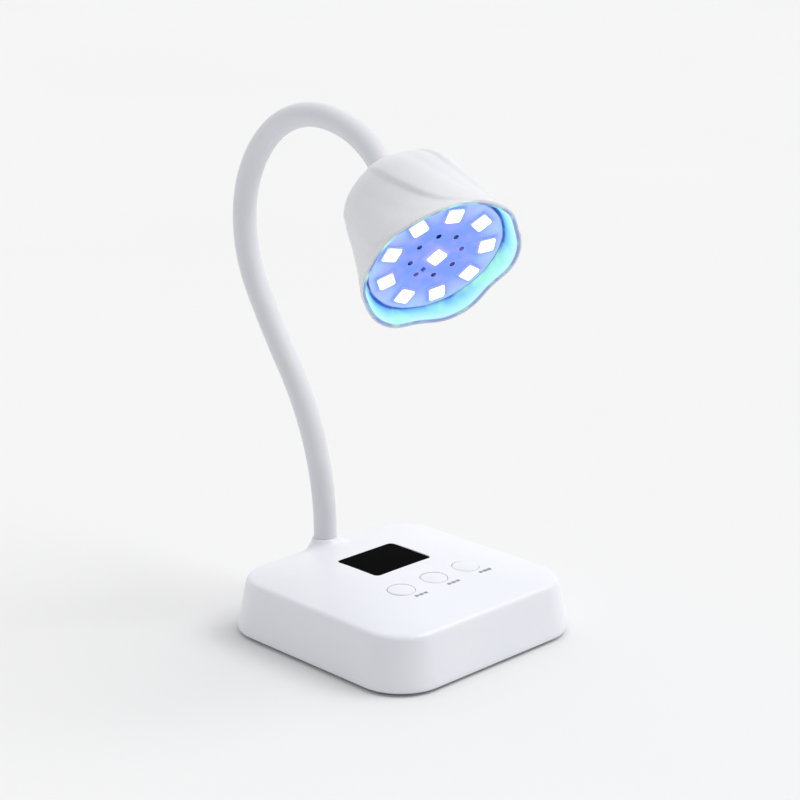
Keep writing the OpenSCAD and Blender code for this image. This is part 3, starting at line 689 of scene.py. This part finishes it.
# %% [markdown]
# The LED board is an aluminium disc with a blue-lit mask, whose glow is painted light. Close to
# each LED the glow turns violet, a painted pool of the LEDs' light, and its holes, underside and
# rim are painted dark as painted shade. It has a ring of small holes round the middle one.

# %% LED board
led_places = [(LED_RING_R, 14 + 40 * k) for k in range(9)] + [(0.0, 60)]
hole_turns = [math.radians(18 + 45 * k) for k in range(8)]
hole_places = [(HOLE_RING_R * math.cos(turn), HOLE_RING_R * math.sin(turn)) for turn in hole_turns]


def led_distance(p):
    """Distance from a point of the board to the nearest LED's edge."""
    best = 99.0
    for r, a in led_places:
        turn = math.radians(a)
        x = p.x * math.cos(turn) + p.y * math.sin(turn) - r
        y = -p.x * math.sin(turn) + p.y * math.cos(turn)
        best = min(best, math.hypot(max(abs(x) - LED_SIZE / 2, 0), max(abs(y) - LED_SIZE / 2, 0)))
    return best


def board_light_and_shade(p):
    r = math.hypot(p.x, p.y)
    hole = min(math.hypot(p.x - x, p.y - y) for x, y in hole_places)
    # Painted shade: the hole walls and the board's side and underside take the darkest colour.
    if p.z < -0.02 or hole < HOLE_R + 0.1:
        return 0.0
    # Painted shade: the colour darkens towards the board's rim.
    edge = smooth((BOARD_R - 0.2 - r) / 0.7)
    # Painted light: a violet pool of the LEDs' light close to each LED.
    painted_led_light = math.exp(-led_distance(p) / 1.0)
    # Painted light: the glow grows brighter towards the middle of the board.
    base = 0.13 + 0.53 * smooth((27 - r) / 15)
    return edge * (base + (1 - base) * 0.8 * painted_led_light)


disc = bmesh.new()
radii = [0.35 + 0.55 * k for k in range(51)] + [28.5]
angles = np.linspace(0, 2 * math.pi, 160, endpoint=False)
top = [[Vector((r * math.cos(a), r * math.sin(a), 0)) for a in angles] for r in radii]
grow = BOARD_R / radii[-1]
side = [[Vector((grow * p.x, grow * p.y, z)) for p in top[-1]] for z in (-0.2, 0.2 - BOARD_T)]
bottom = [[Vector((p.x, p.y, -BOARD_T)) for p in ring] for ring in (top[-1], top[0])]
skin(disc, top + side + bottom, cap=True)
disc = cut(disc, [round_cutter(HOLE_R, -3, 2, x, y) for x, y in hole_places])
piece("led_board_disc", disc, board_glow, "head", ["led_board"], head, sharp=30,
      tone=board_light_and_shade)

# %% [markdown]
# Each LED is a ceramic package with a raised square lens. The lens is what shines.

# %% LEDs
packages, lenses = bmesh.new(), bmesh.new()
for r, a in led_places:
    spot = Matrix.Rotation(math.radians(a), 4, "Z") @ Matrix.Translation((r, 0, 0))
    for target, w, low, high, edge, corner in ((packages, 6.9, 0.02, 0.75, 0.12, 0.4),
                                               (lenses, 6.5, 0.7, LENS_TOP, 0.2, 1.1)):
        part = bmesh.new()
        plate(part, w, w, corner, low, high, edge, arc=6)
        bmesh.ops.transform(part, matrix=spot, verts=part.verts)
        hold = bpy.data.meshes.new("hold")
        part.to_mesh(hold)
        part.free()
        target.from_mesh(hold)
        bpy.data.meshes.remove(hold)
piece("led_packages", packages, ceramic, "head", ["uv_leds"], head)
piece("led_lenses", lenses, led_glow, "head", (), head,
      tone=lambda p: 1.0 if p.z > LENS_TOP - 0.01 else 0.2)

# %% [markdown]
# The heat sink behind the board is painted a dark navy as painted shade, so the eight small
# holes look dark; its navy is painted blue light from beside it. The other inner pieces keep
# the finish of their material slot.

# %% CAD nodes that show as they are
for subpart in frame["record"]["subparts"]:
    target = frame["nodes"].get(subpart["node"])
    if target is None:
        continue
    target.data.materials.clear()
    target.data.materials.append(SLOT_MATERIALS[subpart["material_slot"]])
for name, finish in (("board_thermistor", sensor), ("heat_sink", painted_shade_navy)):
    frame["nodes"][name].data.materials.clear()
    frame["nodes"][name].data.materials.append(finish)
for target in frame["nodes"].values():
    target.data.shade_smooth()
    target.data.set_sharp_from_angle(angle=math.radians(30))

# %% [markdown]
# A plain pale floor and soft studio light: a bright room that is dimmer in front of the lamp,
# and one broad light from the right and above.

# %% Floor, light and camera
floor_mesh = bmesh.new()
bmesh.ops.create_grid(floor_mesh, x_segments=8, y_segments=8, size=6.0)
floor_data = bpy.data.meshes.new("studio_floor")
floor_mesh.to_mesh(floor_data)
floor_mesh.free()
floor = bpy.data.objects.new("studio_floor", floor_data)
bpy.context.scene.collection.objects.link(floor)
floor_data.materials.append(finish_of("studio_paper", "#E4E4E4", "#E8E8E8", 0.9, patch_mm=400,
                                      grain_mm=1.0, bump_mm=0.0))

world = bpy.data.worlds.new("studio")
world.use_nodes = True
bpy.context.scene.world = world
sky = world.node_tree
sky.nodes.clear()
where = add(sky, "ShaderNodeTexCoord")
facing = add(sky, "ShaderNodeVectorMath", {1: (-0.70, -0.71, 0.0)}, {0: where.outputs["Generated"]},
             operation="DOT_PRODUCT")
level = add(sky, "ShaderNodeMapRange", {"From Min": -0.3, "From Max": 0.95, "To Min": 0.99, "To Max": 0.47},
            {"Value": facing.outputs["Value"]})
light = add(sky, "ShaderNodeBackground", {"Color": srgb("#FBFBFC")}, {"Strength": level.outputs["Result"]})
add(sky, "ShaderNodeOutputWorld", wires={"Surface": light.outputs["Background"]})

sun_data = bpy.data.lights.new("key", "SUN")
sun_data.energy = 1.35
sun_data.angle = math.radians(38)
sun = bpy.data.objects.new("key", sun_data)
sun.rotation_euler = Vector((0.50, -0.42, 0.95)).to_track_quat("Z", "Y").to_euler()
bpy.context.scene.collection.objects.link(sun)

camera_data = bpy.data.cameras.new("view")
camera_data.lens = 93.93
camera_data.sensor_width = 36
camera = bpy.data.objects.new("view", camera_data)
eye, aim = Vector((-571.9, -581.5, 345.8)) * MM, Vector((-1.69, -0.48, 101.05)) * MM
camera.location = eye
camera.rotation_euler = (aim - eye).to_track_quat("-Z", "Y").to_euler()
bpy.context.scene.collection.objects.link(camera)
bpy.context.scene.camera = camera
bpy.context.scene.view_settings.view_transform = "Standard"
